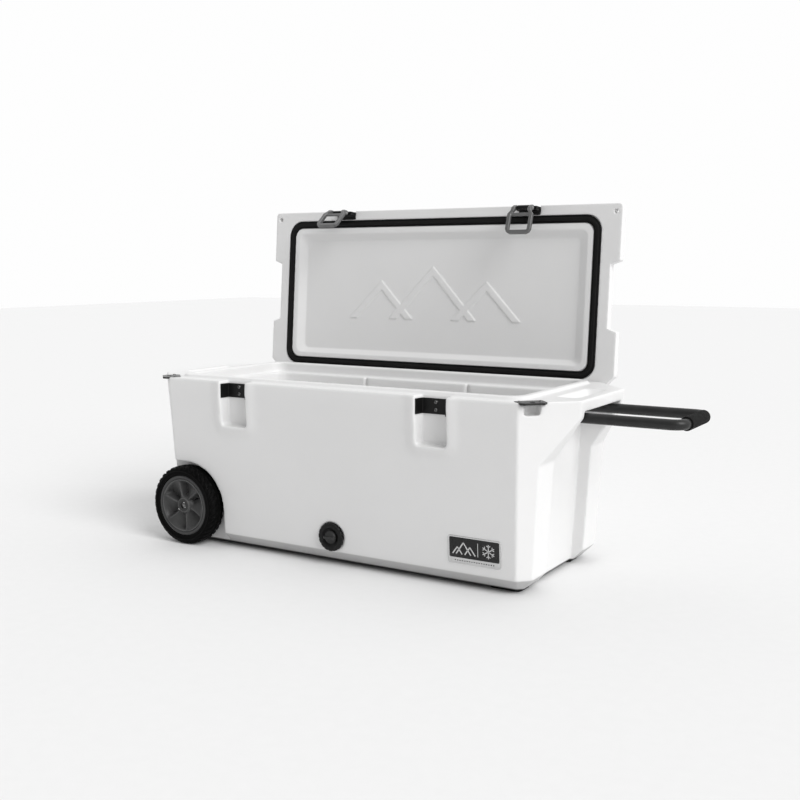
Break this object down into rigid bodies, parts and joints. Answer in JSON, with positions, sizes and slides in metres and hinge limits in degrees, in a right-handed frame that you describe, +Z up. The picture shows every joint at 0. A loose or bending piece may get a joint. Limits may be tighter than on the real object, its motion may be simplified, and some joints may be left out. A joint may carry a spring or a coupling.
{
  "type": "wheeled cooler",
  "caption": "Wheeled hard cooler with a hinged insulated lid, swinging latch frames, fold-down tow handle, drain plug and side wheels.",
  "frame": {"origin": "on the floor, below the centre of the whole object's box with the lid open and the handle out", "axes": "+X runs along the tub from the wheels to the tow handle, +Y runs from the latches to the hinge, +Z is up"},
  "size_m": [1.304, 0.5308, 0.8004],
  "materials": {
    "white_shell": "satin",
    "black_rubber": "matte",
    "tyre": "matte",
    "black_plastic": "satin",
    "rim_plastic": "satin",
    "latch_metal": "satin",
    "steel": "satin",
    "plate_steel": "satin",
    "handle_tube": "satin",
    "grip_rubber": "matte"
  },
  "bodies": {
    "tub": {"tub": "white_shell", "keeper_left": "black_plastic", "keeper_screw_left_low": "steel", "keeper_screw_left_high": "steel", "corner_plate_left": "plate_steel", "corner_screw_left_front": "steel", "corner_screw_left_end": "steel", "keeper_right": "black_plastic", "keeper_screw_right_low": "steel", "keeper_screw_right_high": "steel", "corner_plate_right": "plate_steel", "corner_screw_right_front": "steel", "corner_screw_right_end": "steel", "drain_seal": "black_rubber", "drain_body": "black_plastic", "drain_nut": "black_plastic", "badge_plate": "steel", "badge_field": "black_plastic", "foot_front": "black_rubber", "foot_rear": "black_rubber", "axle": "steel", "washer_front": "steel", "cap_nut_front": "steel", "handle_bolt_front": "steel", "handle_spacer_front": "black_plastic", "washer_rear": "steel", "cap_nut_rear": "steel", "handle_bolt_rear": "steel", "handle_spacer_rear": "black_plastic", "hinge_rod": "steel"},
    "lid": {"lid": "white_shell", "lid_gasket": "black_rubber", "latch_base_left": "black_plastic", "latch_pin_left": "steel", "latch_screw_left_1": "steel", "latch_screw_left_2": "steel", "latch_base_right": "black_plastic", "latch_pin_right": "steel", "latch_screw_right_1": "steel", "latch_screw_right_2": "steel"},
    "latch_left": {"latch_frame_left": "latch_metal"},
    "latch_right": {"latch_frame_right": "latch_metal"},
    "handle": {"handle_tube": "handle_tube", "handle_grip": "grip_rubber"},
    "wheel_front": {"tyre_front": "tyre", "rim_front": "rim_plastic", "bush_front": "black_plastic"},
    "wheel_rear": {"tyre_rear": "tyre", "rim_rear": "rim_plastic", "bush_rear": "black_plastic"},
    "drain_plug": {"drain_plug": "black_plastic", "drain_plug_ring": "black_rubber"}
  },
  "joints": [
    {"name": "lid_hinge", "type": "hinge", "parent": "tub", "child": "lid", "pos_m": [-0.101, 0.17152, 0.391], "axis": [1, 0, 0], "range_deg": [0, 94.7]},
    {"name": "latch_left_swing", "type": "hinge", "parent": "lid", "child": "latch_left", "pos_m": [-0.361, 0.18546, 0.79268], "axis": [1, 0, 0], "range_deg": [-45, 0]},
    {"name": "latch_right_swing", "type": "hinge", "parent": "lid", "child": "latch_right", "pos_m": [0.159, 0.18546, 0.79268], "axis": [1, 0, 0], "range_deg": [-76, 0]},
    {"name": "handle_swing", "type": "hinge", "parent": "tub", "child": "handle", "pos_m": [0.374, -0.03248, 0.358], "axis": [0, 1, 0], "range_deg": [0, 90]},
    {"name": "wheel_front_spin", "type": "hinge", "parent": "tub", "child": "wheel_front", "pos_m": [-0.513, -0.2355, 0.094], "axis": [0, 1, 0], "continuous": true},
    {"name": "wheel_rear_spin", "type": "hinge", "parent": "tub", "child": "wheel_rear", "pos_m": [-0.513, 0.1705, 0.094], "axis": [0, 1, 0], "continuous": true},
    {"name": "drain_plug_turn", "type": "hinge", "parent": "tub", "child": "drain_plug", "pos_m": [-0.101, -0.2245, 0.067], "axis": [0, -1, 0], "range_deg": [0, 360]}
  ],
  "couplings": [
    {"joint": "latch_left_swing", "follows": "lid_hinge", "ratio": -0.47202},
    {"joint": "latch_right_swing", "follows": "lid_hinge", "ratio": -0.79937}
  ]
}
